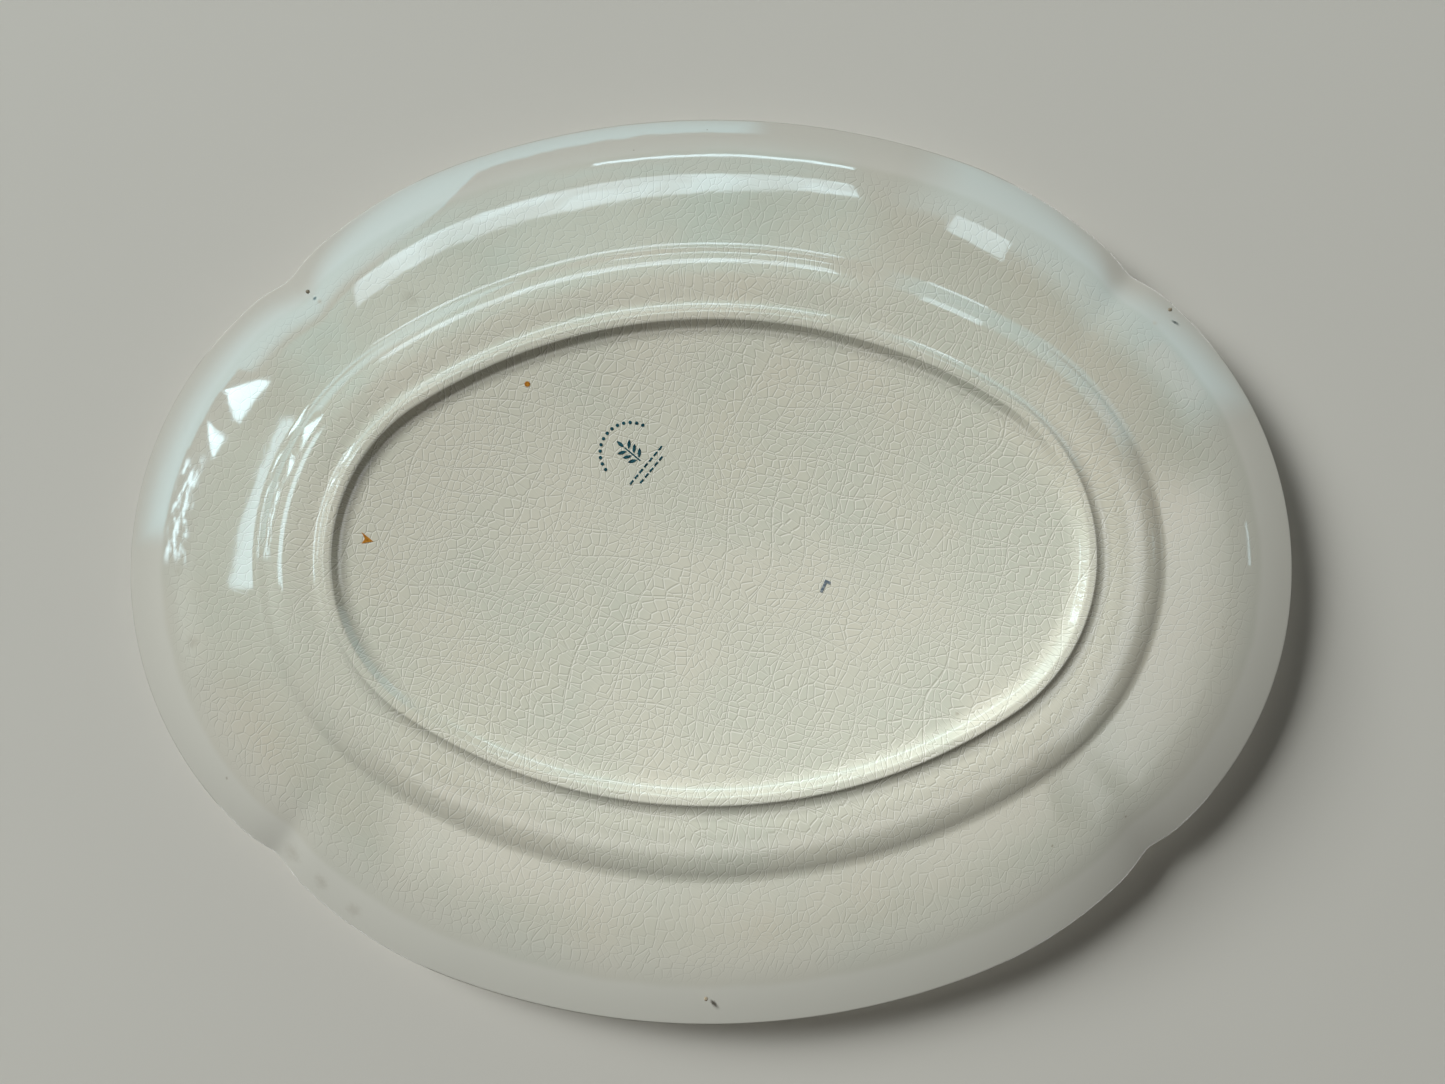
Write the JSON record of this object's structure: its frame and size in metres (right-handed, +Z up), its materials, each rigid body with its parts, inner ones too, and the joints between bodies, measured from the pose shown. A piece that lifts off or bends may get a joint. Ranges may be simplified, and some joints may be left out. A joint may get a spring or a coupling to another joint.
{
  "type": "serving platter",
  "caption": "Oval earthenware serving platter with a flat well, a curved bouge, a broad lobed rim with soft nips, and a low oval foot ring underneath.",
  "frame": {"origin": "centre of the oval foot, on the plane that the foot stands on", "axes": "+X along the platter's length, +Y across it, +Z up out of the well, with the platter lying face up"},
  "size_m": [0.355, 0.2766, 0.032],
  "materials": {
    "clay": "bare fired earthenware",
    "glaze_face": "gloss, cream",
    "glaze_back": "gloss, cream grey, finely crazed",
    "ink": "dark teal print",
    "brush_blue": "thin blue-grey brush stroke",
    "pin_clay": "rough bare clay",
    "iron": "iron fleck under glaze"
  },
  "bodies": {
    "root": {"earthenware_body": "clay", "face_glaze": "glaze_face", "back_glaze": "glaze_back", "backstamp_print": "ink", "decorator_tick": "brush_blue", "kiln_pin_scars": "pin_clay", "iron_specks": "iron"}
  },
  "joints": []
}
